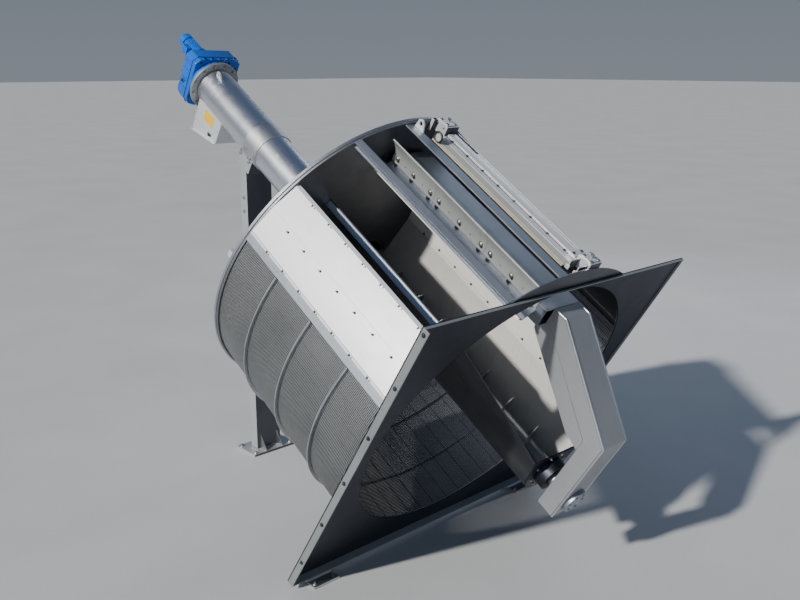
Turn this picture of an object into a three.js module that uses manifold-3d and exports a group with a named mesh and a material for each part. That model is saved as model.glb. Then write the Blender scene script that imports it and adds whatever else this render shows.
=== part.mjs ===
// Drum fine screen with a turning rake, a central screw trough and an inclined screw lift tube.
// Units are mm. The finished part stands on Z = 0 with +Z up, the low inlet end toward +X.
// Shapes are first drawn in the drum frame: s down along the drum axis from the front plate,
// y across, w square to both and upward. The whole is then tilted by TILT.
import * as THREE from 'three';
import { mergeVertices } from 'three/addons/utils/BufferGeometryUtils.js';
import Module from 'manifold-3d';

const wasm = await Module();
wasm.setup();

// Drum
const TILT = THREE.MathUtils.degToRad(32);
const AXIS_HEIGHT = 1190;
const DRUM_R = 1300;
const DRUM_LEN = 1640;
const BASKET_R = 1264;
const BASKET_T = 12;
const PANEL_LOW_A = 158.5;
const BASKET_STEPS = 72;
const GRID_ALONG = 12;
const GRID_AROUND = 12;
const GRID_EDGE = 0.6;
const GRID_RIB = 0.5;
const SHEET = 8;
const GAP = 0.3;

// Upper end plate and the rim behind it
const PLATE_R = 1288;
const RIM_FRONT = 1650;
const RIM_WEB = 1658;
const RIM_BACK = 1670;

// Front plate
const PLATE_HALF = 1320;
const PLATE_TOP = 1165;
const PLATE_LOW = -1330;
const OPEN_R = 1148;
const FLANGE_DEPTH = 60;
const FOLD_DEPTH = 22;

// Trough and screw
const TROUGH_R = 178;
const TROUGH_END = 560;
const SHAFT_R = 60;
const FLIGHT_R = 160;
const FLIGHT_PITCH = 270;
const FLIGHT_T = 10;
const FLIGHT_STEPS = 12;

// Lift tube
const TUBE_R = 178;
const TUBE_T = 8;
const TUBE_JOINT = -3030;
const TUBE_TOP = -4060;
const SLEEVE_LEN = 190;

// Motor beside the tube axis
const MOTOR_Y = -50;
const MOTOR_W = 150;

// Rake
const RAKE_Y0 = -215;
const RAKE_Y1 = 125;
const RAKE_W0 = 912;
const RAKE_W1 = 1045;
const ARM_HALF = 125;
const ARM_WALL = 6;
const RAKE_SEAMS = [-1590, -1110, -556, -24];
const HUB_S = 693;
const ARM_FRONT = 835;

// Comb
const COMB_S0 = -1494;
const COMB_S1 = -126;
const PIVOT_Y = 190;
const PIVOT_W = 1238.7;
const PIVOT_R = 10;
const PLATE_Y0 = 78;
const PLATE_Y1 = 214;

// Leg and saddle under the tube
const SADDLE_W = -262;
const SADDLE_S0 = -3290;
const SADDLE_S1 = -3100;
const LEG_X = -2846;
const LEG_HALF_Y = 131;
const LEG_HALF_X = 50;

const rad = THREE.MathUtils.degToRad;
const group = new THREE.Group();
group.name = 'drum_screen';

const polar = (r, a) => new THREE.Vector2(r * Math.cos(rad(a)), r * Math.sin(rad(a)));
const pts = (list) => list.map(([a, b]) => new THREE.Vector2(a, b));

// A run of points on a circle from angle a0 to a1, both in degrees.
function arc(r, a0, a1, n) {
  return Array.from({ length: n + 1 }, (_, i) => polar(r, a0 + ((a1 - a0) * i) / n));
}

function extrude(outline, depth, holes = []) {
  const shape = new THREE.Shape(outline);
  for (const hole of holes) {
    shape.holes.push(new THREE.Path(hole));
  }
  return new THREE.ExtrudeGeometry(shape, { depth, bevelEnabled: false, curveSegments: 8 });
}

const TO_S = new THREE.Matrix4().makeBasis(
  new THREE.Vector3(0, 1, 0),
  new THREE.Vector3(0, 0, 1),
  new THREE.Vector3(1, 0, 0),
);

// A (y, w) outline run from s0 to s1.
function alongS(outline, s0, s1, holes = []) {
  const g = extrude(outline, s1 - s0, holes);
  g.applyMatrix4(TO_S);
  g.translate(s0, 0, 0);
  return g;
}

// An (s, w) outline run from y0 to y1.
function alongY(outline, y0, y1) {
  const g = extrude(outline, y1 - y0);
  g.rotateX(Math.PI / 2);
  g.translate(0, y1, 0);
  return g;
}

function block(s0, s1, y0, y1, w0, w1) {
  const g = new THREE.BoxGeometry(s1 - s0, y1 - y0, w1 - w0);
  g.translate((s0 + s1) / 2, (y0 + y1) / 2, (w0 + w1) / 2);
  return g;
}

function rod(r, s0, s1, y = 0, w = 0, sides = 24) {
  const g = new THREE.CylinderGeometry(r, r, s1 - s0, sides);
  g.rotateZ(-Math.PI / 2);
  g.translate((s0 + s1) / 2, y, w);
  return g;
}

// A rod across the drum, for the eye holes.
function pin(r, s, y, w) {
  const g = rod(r, -20, 20, 0, 0, 16);
  g.rotateZ(Math.PI / 2);
  g.translate(s, y, w);
  return g;
}

function ring(rOut, rIn, s0, s1, sides = 32, y = 0, w = 0) {
  const outline = arc(rOut, 0, 360 - 360 / sides, sides - 1);
  const hole = arc(rIn, 0, 360 - 360 / sides, sides - 1);
  const g = alongS(outline, s0, s1, [hole]);
  g.translate(0, y, w);
  return g;
}

// A (radius, s) profile turned about the drum axis.
function turned(profile, sides) {
  const g = new THREE.LatheGeometry(profile, sides);
  g.rotateZ(-Math.PI / 2);
  return g;
}

function band(rIn, rOut, a0, a1, s0, s1, n) {
  return alongS([...arc(rOut, a0, a1, n), ...arc(rIn, a1, a0, n)], s0, s1);
}

// Joins and cuts.
function toSolid(g) {
  const plain = new THREE.BufferGeometry();
  plain.setAttribute('position', g.getAttribute('position').clone());
  if (g.index) {
    plain.setIndex(g.index.clone());
  }
  const m = mergeVertices(plain, 1e-3);
  return new wasm.Manifold(new wasm.Mesh({
    numProp: 3,
    vertProperties: new Float32Array(m.getAttribute('position').array),
    triVerts: new Uint32Array(m.index.array),
  }));
}

function fromSolid(solid) {
  const mesh = solid.getMesh();
  const g = new THREE.BufferGeometry();
  g.setAttribute('position', new THREE.BufferAttribute(new Float32Array(mesh.vertProperties), 3));
  g.setIndex(new THREE.BufferAttribute(new Uint32Array(mesh.triVerts), 1));
  return g;
}

const join = (...gs) => fromSolid(gs.map(toSolid).reduce((a, b) => a.add(b)));
const cut = (g, ...tools) => fromSolid(tools.map(toSolid).reduce((a, b) => a.subtract(b), toSolid(g)));

// The drum frame is tilted, the upright frame stands on the floor under the front plate.
const drum = new THREE.Group();
drum.rotation.y = TILT;
drum.position.z = AXIS_HEIGHT;
const upright = new THREE.Group();
group.add(drum, upright);

function add(name, geometry, color, home = drum) {
  const bare = geometry.clone();
  bare.deleteAttribute('uv');
  bare.deleteAttribute('normal');
  const merged = mergeVertices(bare, 1e-3);
  merged.computeVertexNormals();
  const mesh = new THREE.Mesh(merged, new THREE.MeshStandardMaterial({ color }));
  mesh.name = name;
  home.add(mesh);
}

const STEEL = 0xc9ced4;
const SHADE = 0x8d949c;
const BLUE = 0x1464c8;

// Upper end plate with a stepped rim, both cut straight beside the comb on the far side.
const farCut = alongS(pts([[245, 1277], [966, 826], [1400, 826], [1400, 1700], [245, 1700]]), -1700, -1600);
const endOutline = arc(PLATE_R, 0, 357, 119);
const endPlate = alongS(endOutline, -DRUM_LEN, -DRUM_LEN + SHEET, [arc(TUBE_R, 0, 345, 23)]);
add('end_plate', cut(endPlate, farCut), STEEL);
const rimProfile = pts([
  [1240, -RIM_WEB], [DRUM_R - 8.5, -RIM_WEB], [DRUM_R - 8.5, -RIM_BACK],
  [DRUM_R, -RIM_BACK], [DRUM_R, -RIM_FRONT], [PLATE_R - 2, -RIM_FRONT],
  [PLATE_R - 2, -DRUM_LEN - GAP], [1240, -DRUM_LEN - GAP], [1240, -RIM_WEB],
]);
add('end_rim', cut(turned(rimProfile, 96), farCut), STEEL);

// Front plate, a flat sheet with a round opening, and the flange round its edge.
const plateOutline = pts([
  [-PLATE_HALF, PLATE_LOW],
  [PLATE_HALF, PLATE_LOW],
  [PLATE_HALF, PLATE_TOP],
  [-PLATE_HALF, PLATE_TOP],
]);
// The flange is deep on the near side and below, and a narrow fold on the other two.
const deepFlange = pts([
  [-PLATE_HALF, PLATE_LOW],
  [PLATE_HALF, PLATE_LOW],
  [PLATE_HALF, PLATE_LOW + SHEET],
  [-PLATE_HALF + SHEET, PLATE_LOW + SHEET],
  [-PLATE_HALF + SHEET, PLATE_TOP],
  [-PLATE_HALF, PLATE_TOP],
]);
const foldHole = pts([
  [-PLATE_HALF + SHEET, PLATE_LOW + SHEET],
  [PLATE_HALF - SHEET, PLATE_LOW + SHEET],
  [PLATE_HALF - SHEET, PLATE_TOP - SHEET],
  [-PLATE_HALF + SHEET, PLATE_TOP - SHEET],
]);
add('front_plate', alongS(plateOutline, 0, SHEET, [arc(OPEN_R, 0, 355, 71)]), SHADE);
add('front_flange', join(
  alongS(plateOutline, SHEET + GAP, FOLD_DEPTH, [foldHole]),
  alongS(deepFlange, FOLD_DEPTH, FLANGE_DEPTH),
), SHADE);
add('front_ring', ring(DRUM_R - 4, OPEN_R + 6, -10, -GAP, 72), STEEL);

// Basket of fine screen bars, and its hoops.
const BASKET_S0 = -DRUM_LEN + SHEET + GAP;
const basketArc = [PANEL_LOW_A + 3.7, 360 + 180 - PANEL_LOW_A - 3.7];
const basketShell = band(BASKET_R, BASKET_R + BASKET_T, ...basketArc, BASKET_S0, -10 - GAP, BASKET_STEPS);
const cellAngle = (basketArc[1] - basketArc[0] - 2 * GRID_EDGE) / GRID_AROUND;
const cellLen = (-10 - GAP - BASKET_S0 - 40) / GRID_ALONG;
const gridTools = [];
for (let i = 0; i < GRID_ALONG; i += 1) {
  for (let k = 0; k < GRID_AROUND; k += 1) {
    const s = BASKET_S0 + 20 + i * cellLen;
    const a = basketArc[0] + GRID_EDGE + k * cellAngle;
    const span = [a + GRID_RIB, a + cellAngle - GRID_RIB];
    gridTools.push(band(BASKET_R - 60, BASKET_R + 60, ...span, s + 10, s + cellLen - 10, 2));
  }
}
add('basket', cut(basketShell, ...gridTools), SHADE);
for (const [i, s] of [-1240, -820, -400].entries()) {
  add(
    `basket_hoop_${i + 1}`,
    band(BASKET_R + BASKET_T + GAP, DRUM_R - 2, ...basketArc, s - 6, s + 6, BASKET_STEPS),
    STEEL,
  );
}

// Folded side panels, the strips below them and the rails on their top edges.
for (const side of [-1, 1]) {
  const tag = side < 0 ? 'near' : 'far';
  const flip = (list) => (side < 0 ? pts(list) : pts(list.map(([y, w]) => [-y, w])).reverse());
  const panel = flip([
    [-966, 826], [-1100, 664], [-1208, 476], [-1200, 472], [-1093, 659], [-962, 814],
    [-934, 814], [-934, 826],
  ]);
  add(`side_panel_${tag}`, alongS(panel, BASKET_S0, -10 - GAP), STEEL);
  const strip = flip([[-1208.6, 475.4], [-1236, 407], [-1228, 403.5], [-1200.6, 471.7]]);
  add(`side_strip_${tag}`, alongS(strip, BASKET_S0, -10 - GAP), SHADE);
}

// Longitudinal members over the open top.
const rail = pts([
  [-590, 1112], [-570, 1112], [-570, 1120], [-586, 1150], [-548, 1168],
  [-552, 1176], [-598, 1153], [-578, 1120], [-590, 1120],
]);
add('rim_rail', alongS(rail, BASKET_S0, -10 - GAP), STEEL);
const beam = pts([[-188, 1264], [-100, 1264], [-100, 1272], [-188, 1272]]);
add('top_beam', alongS(beam, BASKET_S0, -10 - GAP), STEEL);

// Trough with a U bottom, a low near wall and a high far wall.
const troughInner = [
  ...pts([[-600, 665], [-180, 100]]),
  ...arc(TROUGH_R, 180, 350, 12),
  ...pts([[295, 370], [311.5, 820]]),
];
const troughOuter = [
  ...pts([[319.5, 820], [303, 368]]),
  ...arc(TROUGH_R + SHEET, 350, 180, 12),
  ...pts([[-188, 102.5], [-606.4, 660.2]]),
];
const frontCut = alongY(
  pts([[-400, 888.3], [TROUGH_END, 149], [800, 149], [800, 1200], [-400, 1200]]),
  -900,
  500,
);
const troughOutline = [...troughInner, ...troughOuter].reverse();
add('trough', cut(alongS(troughOutline, BASKET_S0, TROUGH_END), frontCut), STEEL);
const lip = pts([[-606.9, 660.1], [-602.6, 653.6], [-634, 619], [-640, 625]]);
add('trough_lip', alongS(lip, BASKET_S0, -110), STEEL);
const endShape = [
  ...arc(TROUGH_R + SHEET, 180, 360, 12),
  ...pts([[215, 149], [-215, 149]]),
];
add(
  'trough_end_plate',
  alongS(endShape, TROUGH_END + GAP, TROUGH_END + 12, [arc(SHAFT_R + 8, 0, 345, 23)]),
  SHADE,
);
add('lower_bearing', ring(115, SHAFT_R + 8, TROUGH_END + 12 + GAP, TROUGH_END + 90, 28), SHADE);

// Lift tube in two lengths with a sleeve on the joint.
const TUBE_S0 = -DRUM_LEN - GAP;
add('tube_collar', ring(TUBE_R + 62, TUBE_R + GAP, TUBE_S0 - 16, TUBE_S0, 36), STEEL);
add('tube_lower', ring(TUBE_R, TUBE_R - TUBE_T, TUBE_JOINT + GAP, TUBE_S0, 36), STEEL);
const tubeUpper = cut(
  ring(TUBE_R, TUBE_R - TUBE_T, TUBE_TOP, TUBE_JOINT, 36),
  block(-4010, -3645, -125, 125, -260, -60),
);
add('tube_upper', tubeUpper, STEEL);
add('tube_sleeve', ring(TUBE_R + 10, TUBE_R + GAP, TUBE_JOINT - SLEEVE_LEN, TUBE_JOINT + 6, 36), STEEL);
add('tube_flange', ring(240, SHAFT_R + 8, TUBE_TOP - 24, TUBE_TOP - GAP, 36), SHADE);
const lugOutline = pts([
  [-3990, 178.4], [-3900, 178.4], [-3918, 232], [-3932, 242], [-3958, 242], [-3972, 232],
]);
const lug = cut(alongY(lugOutline, -7, 7), pin(14, -3945, 0, 215));
lug.rotateX(rad(21));
add('tube_lug', lug, STEEL);

// Discharge chute, a box open at the bottom and to the tube.
const chuteOuter = pts([[-4030, -60], [-4018, -413], [-3632, -317], [-3624, -60]]);
const chuteInner = pts([[-4025, 0], [-4008, -500], [-3645, -500], [-3629, 0]]);
const chute = cut(
  alongY(chuteOuter, -150, 150),
  alongY(chuteInner, -144, 144),
  rod(TUBE_R + GAP, -4100, -3500, 0, 0, 36),
);
add('chute', chute, STEEL);

// Gearbox on the tube axis, motor and shaft cap.
const DRIVE_S = TUBE_TOP - 24 - GAP;
const BOX_S1 = DRIVE_S - 66;
const BOX_S0 = BOX_S1 - 185;
add('drive_flange', rod(205, BOX_S1 + GAP, DRIVE_S, 0, 0, 36), BLUE);
const gearOutline = pts([
  [-200, -190], [-170, -235], [-110, -255], [110, -255], [170, -235], [200, -190], [210, 40],
  [272, 85], [272, 180], [235, 212], [-155, 222], [-200, 180],
]);
add('gearbox', alongS(gearOutline, BOX_S0, BOX_S1), BLUE);
add('motor_flange', rod(72, BOX_S0 - 30, BOX_S0 - GAP, MOTOR_Y, MOTOR_W, 28), BLUE);
add('motor', rod(66, BOX_S0 - 290, BOX_S0 - 30 - GAP, MOTOR_Y, MOTOR_W, 28), BLUE);
add('shaft_cap', rod(84, BOX_S0 - 88, BOX_S0 - GAP, 0, 0, 28), 0xe8e2c0);

// Screw: a helical flight around a shaft, in three lengths in the trough and one in the tube.
function flight(r0, r1, s0, s1) {
  const n = Math.round(((s1 - s0) / FLIGHT_PITCH) * FLIGHT_STEPS);
  const pos = [];
  const idx = [];
  for (let i = 0; i <= n; i += 1) {
    const s = s0 + ((s1 - s0) * i) / n;
    const a = (2 * Math.PI * s) / FLIGHT_PITCH;
    for (const [r, ds] of [[r0, 0], [r1, 0], [r1, FLIGHT_T], [r0, FLIGHT_T]]) {
      pos.push(s + ds, r * Math.cos(a), r * Math.sin(a));
    }
  }
  for (let i = 0; i < n; i += 1) {
    for (let k = 0; k < 4; k += 1) {
      const a = i * 4 + k;
      const b = i * 4 + ((k + 1) % 4);
      idx.push(a, a + 4, b, b, a + 4, b + 4);
    }
  }
  idx.push(0, 1, 2, 0, 2, 3);
  const e = n * 4;
  idx.push(e, e + 2, e + 1, e, e + 3, e + 2);
  const g = new THREE.BufferGeometry();
  g.setAttribute('position', new THREE.Float32BufferAttribute(pos, 3));
  g.setIndex(idx);
  return g;
}
add('screw_shaft', rod(SHAFT_R, TUBE_TOP - 24, HUB_S - GAP), STEEL);
const flightRoot = SHAFT_R / Math.cos(Math.PI / FLIGHT_STEPS) + GAP;
const FLIGHT_LEN = (TROUGH_END - 40 - BASKET_S0) / 3;
for (let i = 0; i < 3; i += 1) {
  const s0 = BASKET_S0 + i * FLIGHT_LEN;
  add(`screw_flight_${i + 1}`, flight(flightRoot, FLIGHT_R, s0, s0 + FLIGHT_LEN - FLIGHT_T - GAP), STEEL);
}
const upperFlight = flight(flightRoot, FLIGHT_R, TUBE_TOP + 60, BASKET_S0 - FLIGHT_T - GAP);
add('screw_flight_upper', upperFlight, STEEL);

// Rake: a hollow bar along the drum, three bolted segment plates and a bent arm to the hub.
const rakeOutline = pts([
  [RAKE_Y0, RAKE_W0], [RAKE_Y1, RAKE_W0], [RAKE_Y1, RAKE_W1], [RAKE_Y0, RAKE_W1],
]);
const rakeHole = pts([
  [RAKE_Y0 + ARM_WALL, RAKE_W0 + ARM_WALL], [RAKE_Y1 - ARM_WALL, RAKE_W0 + ARM_WALL],
  [RAKE_Y1 - ARM_WALL, RAKE_W1 - ARM_WALL], [RAKE_Y0 + ARM_WALL, RAKE_W1 - ARM_WALL],
]);
add('rake_bar', alongS(rakeOutline, -1600, 44, [rakeHole]), SHADE);
const gutterOutline = pts([
  [-215.3, 1004], [-310, 934], [-348, 952], [-352, 944], [-310, 924], [-215.3, 994],
]);
add('rake_side_angle', alongS(gutterOutline, -1590, -20), SHADE);
const segment = pts([
  [-215.5, 1012], [-215.5, 1070], [-234, 1124], [-262, 1162], [-290, 1190],
  [-298, 1183], [-271, 1154], [-245, 1118], [-227, 1068], [-227, 1012],
]).reverse();
for (let i = 0; i < 3; i += 1) {
  add(`rake_segment_${i + 1}`, alongS(segment, RAKE_SEAMS[i] + 1, RAKE_SEAMS[i + 1] - 1), STEEL);
}
const armOuter = pts([
  [44 + GAP, RAKE_W0], [93, RAKE_W0], [HUB_S, 492], [HUB_S, -140], [ARM_FRONT, -140],
  [ARM_FRONT, 565], [150, RAKE_W1], [44 + GAP, RAKE_W1],
]);
const armInner = pts([
  [0, RAKE_W0 + 6], [95, RAKE_W0 + 6], [HUB_S + 6, 495], [HUB_S + 6, -134], [ARM_FRONT - 6, -134],
  [ARM_FRONT - 6, 562], [148, RAKE_W1 - 6], [0, RAKE_W1 - 6],
]);
const arm = cut(
  alongY(armOuter, -ARM_HALF, ARM_HALF),
  alongY(armInner, -ARM_HALF + ARM_WALL, ARM_HALF - ARM_WALL),
);
add('rake_arm', arm, STEEL);
const webOutline = pts([
  [-15, 830], [20, 800], [560, 440], [HUB_S - 0.5, 400], [HUB_S - 0.5, 491.6], [93, RAKE_W0 - 0.4],
  [-15, RAKE_W0 - 0.4],
]);
add('rake_web_near', alongY(webOutline, -ARM_HALF, -ARM_HALF + 10), STEEL);
add('rake_web_far', alongY(webOutline, ARM_HALF - 10, ARM_HALF), STEEL);
add('hub_cap', rod(95, ARM_FRONT + GAP, ARM_FRONT + 30, 0, 0, 28), SHADE);

// Stripping comb, swinging on a shaft between two brackets over the top of the drum.
const COMB_LOW = PIVOT_W + PIVOT_R + GAP;
const COMB_TOP = COMB_LOW + SHEET;
const combPlate = pts([
  [PLATE_Y0 + GAP, COMB_LOW], [PLATE_Y1, COMB_LOW], [PLATE_Y1, COMB_TOP], [PLATE_Y0 + GAP, COMB_TOP],
]);
add('comb_plate', alongS(combPlate, COMB_S0, COMB_S1), STEEL);
const combFlange = pts([
  [PLATE_Y1 + GAP, 1238], [PLATE_Y1 + 8, 1238], [PLATE_Y1 + 8, 1273], [PLATE_Y1 + GAP, 1273],
]);
add('comb_flange', alongS(combFlange, COMB_S0, COMB_S1), STEEL);
const combStrip = pts([
  [-30, 1246], [-28, 1236], [30, 1235], [PLATE_Y0, COMB_LOW], [PLATE_Y0, COMB_TOP], [34, 1249],
]);
add('comb_strip', alongS(combStrip, COMB_S0, COMB_S1), 0xe6ddc0);
add('comb_shaft', rod(PIVOT_R, -1600, -60, PIVOT_Y, PIVOT_W, 16), STEEL);
const bracketOutline = pts([[90, 1236], [150, 1224], [212, 1218], [212, 1320], [90, 1320]]);
function combBracket(s0, s1) {
  const bore = rod((PIVOT_R + GAP) / Math.cos(Math.PI / 16), s0 - 10, s1 + 10, PIVOT_Y, PIVOT_W, 16);
  return cut(alongS(bracketOutline, s0, s1), bore);
}
add('comb_bracket_upper', combBracket(-DRUM_LEN + SHEET + GAP, COMB_S0 - 6), STEEL);
add('comb_bracket_lower', combBracket(COMB_S1 + 6, -10 - GAP), STEEL);

// Lifting eye on the upper end of the top beam.
const eyeOutline = pts([
  [-1612, 1273], [-1520, 1273], [-1538, 1330], [-1556, 1348], [-1580, 1350], [-1600, 1336],
]);
add('lifting_eye', cut(alongY(eyeOutline, -117, -103), pin(16, -1570, -110, 1318)), STEEL);

// Cross bar under the upper end plate.
add('cross_bar', block(-1714, -1670.3, -1272, 1272, 196, 252), STEEL);

// Brings a drum-frame tool into the upright frame.
function tilted(g) {
  g.rotateY(TILT);
  g.translate(0, 0, AXIS_HEIGHT);
  return g;
}

// Leg under the tube, upright to the floor, with a saddle that cups the tube.
const saddle = cut(
  block(SADDLE_S0, SADDLE_S1, -LEG_HALF_Y, LEG_HALF_Y, SADDLE_W, -90),
  rod(TUBE_R + 10 + GAP, SADDLE_S0 - 50, SADDLE_S1 + 50, 0, 0, 36),
);
add('leg_saddle', saddle, STEEL);
const legOutline = pts([
  [LEG_X + LEG_HALF_X, -LEG_HALF_Y], [LEG_X + LEG_HALF_X, LEG_HALF_Y],
  [LEG_X - LEG_HALF_X, LEG_HALF_Y], [LEG_X - LEG_HALF_X, LEG_HALF_Y - SHEET],
  [LEG_X + LEG_HALF_X - SHEET, LEG_HALF_Y - SHEET], [LEG_X + LEG_HALF_X - SHEET, SHEET - LEG_HALF_Y],
  [LEG_X - LEG_HALF_X, SHEET - LEG_HALF_Y], [LEG_X - LEG_HALF_X, -LEG_HALF_Y],
]);
const overLeg = tilted(block(-4200, -2600, -400, 400, SADDLE_W - GAP, 600));
const legBase = new THREE.BoxGeometry(300, 460, 20);
legBase.translate(LEG_X, 0, 10);
add('tube_leg', join(cut(extrude(legOutline, 3200), overLeg), legBase), STEEL, upright);

// Feet under the front plate, with a wedge that carries the sloping lower flange.
const footOutline = pts([
  [-800, 0], [-560, 0], [-560, 16], [-648, 16], [-656, 31], [-703, 60.3], [-724, 16], [-800, 16],
]);
for (const side of [-1, 1]) {
  const foot = extrude(footOutline, 220);
  foot.rotateX(Math.PI / 2);
  foot.translate(0, side * 1080 + 110, 0);
  add(side < 0 ? 'foot_near' : 'foot_far', foot, STEEL, upright);
}

// The origin is on the floor at mid length.
const reach = new THREE.Box3().setFromObject(group, true);
group.position.x = -(reach.min.x + reach.max.x) / 2;

export default group;
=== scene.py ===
"""Looks of the drum fine screen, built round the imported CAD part.

Small solids are drawn in the drum frame, in mm. s runs down along the drum axis and is 0 at the
front plate, y runs across, and w is square to both and points up. DRUM brings them into the
upright frame, in metres.
"""

import math

import bmesh
import bpy
from mathutils import Matrix, Vector


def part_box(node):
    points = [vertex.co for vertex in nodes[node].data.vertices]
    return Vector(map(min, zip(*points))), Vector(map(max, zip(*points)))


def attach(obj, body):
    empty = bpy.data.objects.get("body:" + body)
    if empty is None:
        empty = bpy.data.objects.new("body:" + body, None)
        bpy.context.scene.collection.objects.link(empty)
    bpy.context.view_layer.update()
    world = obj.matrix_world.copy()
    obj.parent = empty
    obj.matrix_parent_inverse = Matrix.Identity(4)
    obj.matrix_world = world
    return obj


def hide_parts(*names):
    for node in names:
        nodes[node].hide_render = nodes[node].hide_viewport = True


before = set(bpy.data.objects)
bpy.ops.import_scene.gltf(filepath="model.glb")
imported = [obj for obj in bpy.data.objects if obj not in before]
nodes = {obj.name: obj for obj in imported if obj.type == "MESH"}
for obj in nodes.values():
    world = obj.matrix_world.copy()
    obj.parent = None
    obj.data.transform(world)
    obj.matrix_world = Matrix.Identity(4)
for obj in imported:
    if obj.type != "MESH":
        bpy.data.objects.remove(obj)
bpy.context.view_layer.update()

TILT = math.radians(32)
FOOT_BACK = 0.680
AXIS_HEIGHT = 1190
low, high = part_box("foot_near")
ORIGIN = Vector(((low.x + high.x) / 2 + FOOT_BACK, 0, AXIS_HEIGHT / 1000))
DRUM = Matrix.Translation(ORIGIN) @ Matrix.Rotation(TILT, 4, "Y")
MM = Matrix.Scale(0.001, 4)
S, Y, W = Vector((1, 0, 0)), Vector((0, 1, 0)), Vector((0, 0, 1))
SIDES = (-1, 1)


# Materials

class Graph:
    """A short way to write a material's node tree."""

    def __init__(self, name):
        self.material = bpy.data.materials.new(name)
        self.material.use_nodes = True
        self.tree = self.material.node_tree
        self.tree.nodes.clear()
        coords = self.add("ShaderNodeTexCoord").outputs["Object"]
        turn = self.add("ShaderNodeMapping")
        turn.inputs["Rotation"].default_value = (0, -TILT, 0)
        turn.inputs["Location"].default_value = Matrix.Rotation(-TILT, 3, "Y") @ -ORIGIN
        self.join(coords, turn.inputs["Vector"])
        self.place = turn.outputs["Vector"]
        self.upright = coords
        self.normal = coords.node.outputs["Normal"]

    def add(self, kind, **settings):
        node = self.tree.nodes.new(kind)
        for key, value in settings.items():
            setattr(node, key, value)
        return node

    def join(self, output, target):
        self.tree.links.new(output, target)

    def feed(self, target, value):
        """Links a socket, or sets a number or colour."""
        if isinstance(value, bpy.types.NodeSocket):
            self.join(value, target)
        else:
            target.default_value = value

    def stretched(self, scale, source=None):
        node = self.add("ShaderNodeVectorMath", operation="MULTIPLY")
        self.join(source or self.place, node.inputs[0])
        node.inputs[1].default_value = scale
        return node.outputs[0]

    def outward(self):
        """1 on faces turned away from the drum axis, 0 on faces turned toward it."""
        lean = self.add("ShaderNodeMapping", vector_type="NORMAL")
        lean.inputs["Rotation"].default_value = (0, -TILT, 0)
        self.join(self.normal, lean.inputs["Vector"])
        dot = self.add("ShaderNodeVectorMath", operation="DOT_PRODUCT")
        self.join(self.stretched((0, 1, 1)), dot.inputs[0])
        self.join(lean.outputs["Vector"], dot.inputs[1])
        return self.span(dot.outputs["Value"], -0.02, 0.02)

    def inward(self):
        return self.math("SUBTRACT", 1.0, self.outward())

    def forward(self):
        """1 on faces turned to +X of the upright frame."""
        split = self.add("ShaderNodeSeparateXYZ")
        self.join(self.normal, split.inputs[0])
        return self.span(split.outputs["X"], 0.6, 0.8)

    def noise(self, scale, detail=4.0, rough=0.55, source=None):
        node = self.add("ShaderNodeTexNoise")
        self.join(source or self.place, node.inputs["Vector"])
        node.inputs["Scale"].default_value = scale
        node.inputs["Detail"].default_value = detail
        node.inputs["Roughness"].default_value = rough
        return node.outputs["Fac"]

    def span(self, value, a, b, c=0.0, d=1.0):
        """Maps the range a to b onto c to d."""
        node = self.add("ShaderNodeMapRange", clamp=True)
        self.feed(node.inputs["Value"], value)
        for key, number in zip(("From Min", "From Max", "To Min", "To Max"), (a, b, c, d)):
            node.inputs[key].default_value = number
        return node.outputs["Result"]

    def math(self, operation, a, b=0.0):
        node = self.add("ShaderNodeMath", operation=operation)
        self.feed(node.inputs[0], a)
        self.feed(node.inputs[1], b)
        return node.outputs[0]

    def blend(self, factor, a, b):
        node = self.add("ShaderNodeMix", data_type="RGBA")
        self.feed(node.inputs["Factor"], factor)
        self.feed(node.inputs[6], a)
        self.feed(node.inputs[7], b)
        return node.outputs[2]

    def bump(self, height, strength, distance, normal=None):
        node = self.add("ShaderNodeBump")
        node.inputs["Strength"].default_value = strength
        node.inputs["Distance"].default_value = distance
        self.join(height, node.inputs["Height"])
        if normal is not None:
            self.join(normal, node.inputs["Normal"])
        return node.outputs["Normal"]

    def surface(self, color, roughness, metallic, normal, **rest):
        node = self.add("ShaderNodeBsdfPrincipled")
        self.feed(node.inputs["Base Color"], color)
        self.feed(node.inputs["Roughness"], roughness)
        self.feed(node.inputs["Metallic"], metallic)
        self.join(normal, node.inputs["Normal"])
        for key, value in rest.items():
            node.inputs[key.replace("_", " ")].default_value = value
        out = self.add("ShaderNodeOutputMaterial")
        self.join(node.outputs[0], out.inputs["Surface"])
        return self.material


def rgb(r, g, b):
    return (r, g, b, 1.0)


def darker(tone, share):
    return rgb(*[value * share for value in tone])


RUN_TONE = rgb(0.34, 0.32, 0.28)
SCRATCH_TONE = rgb(0.95, 0.96, 0.98)
# Tones of the painted shade laid on one side of a steel.
PAINTED_SHADE_TONES = rgb(0.15, 0.155, 0.17), rgb(0.10, 0.105, 0.12)
DIRT_TONE = rgb(0.10, 0.11, 0.12)


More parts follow.
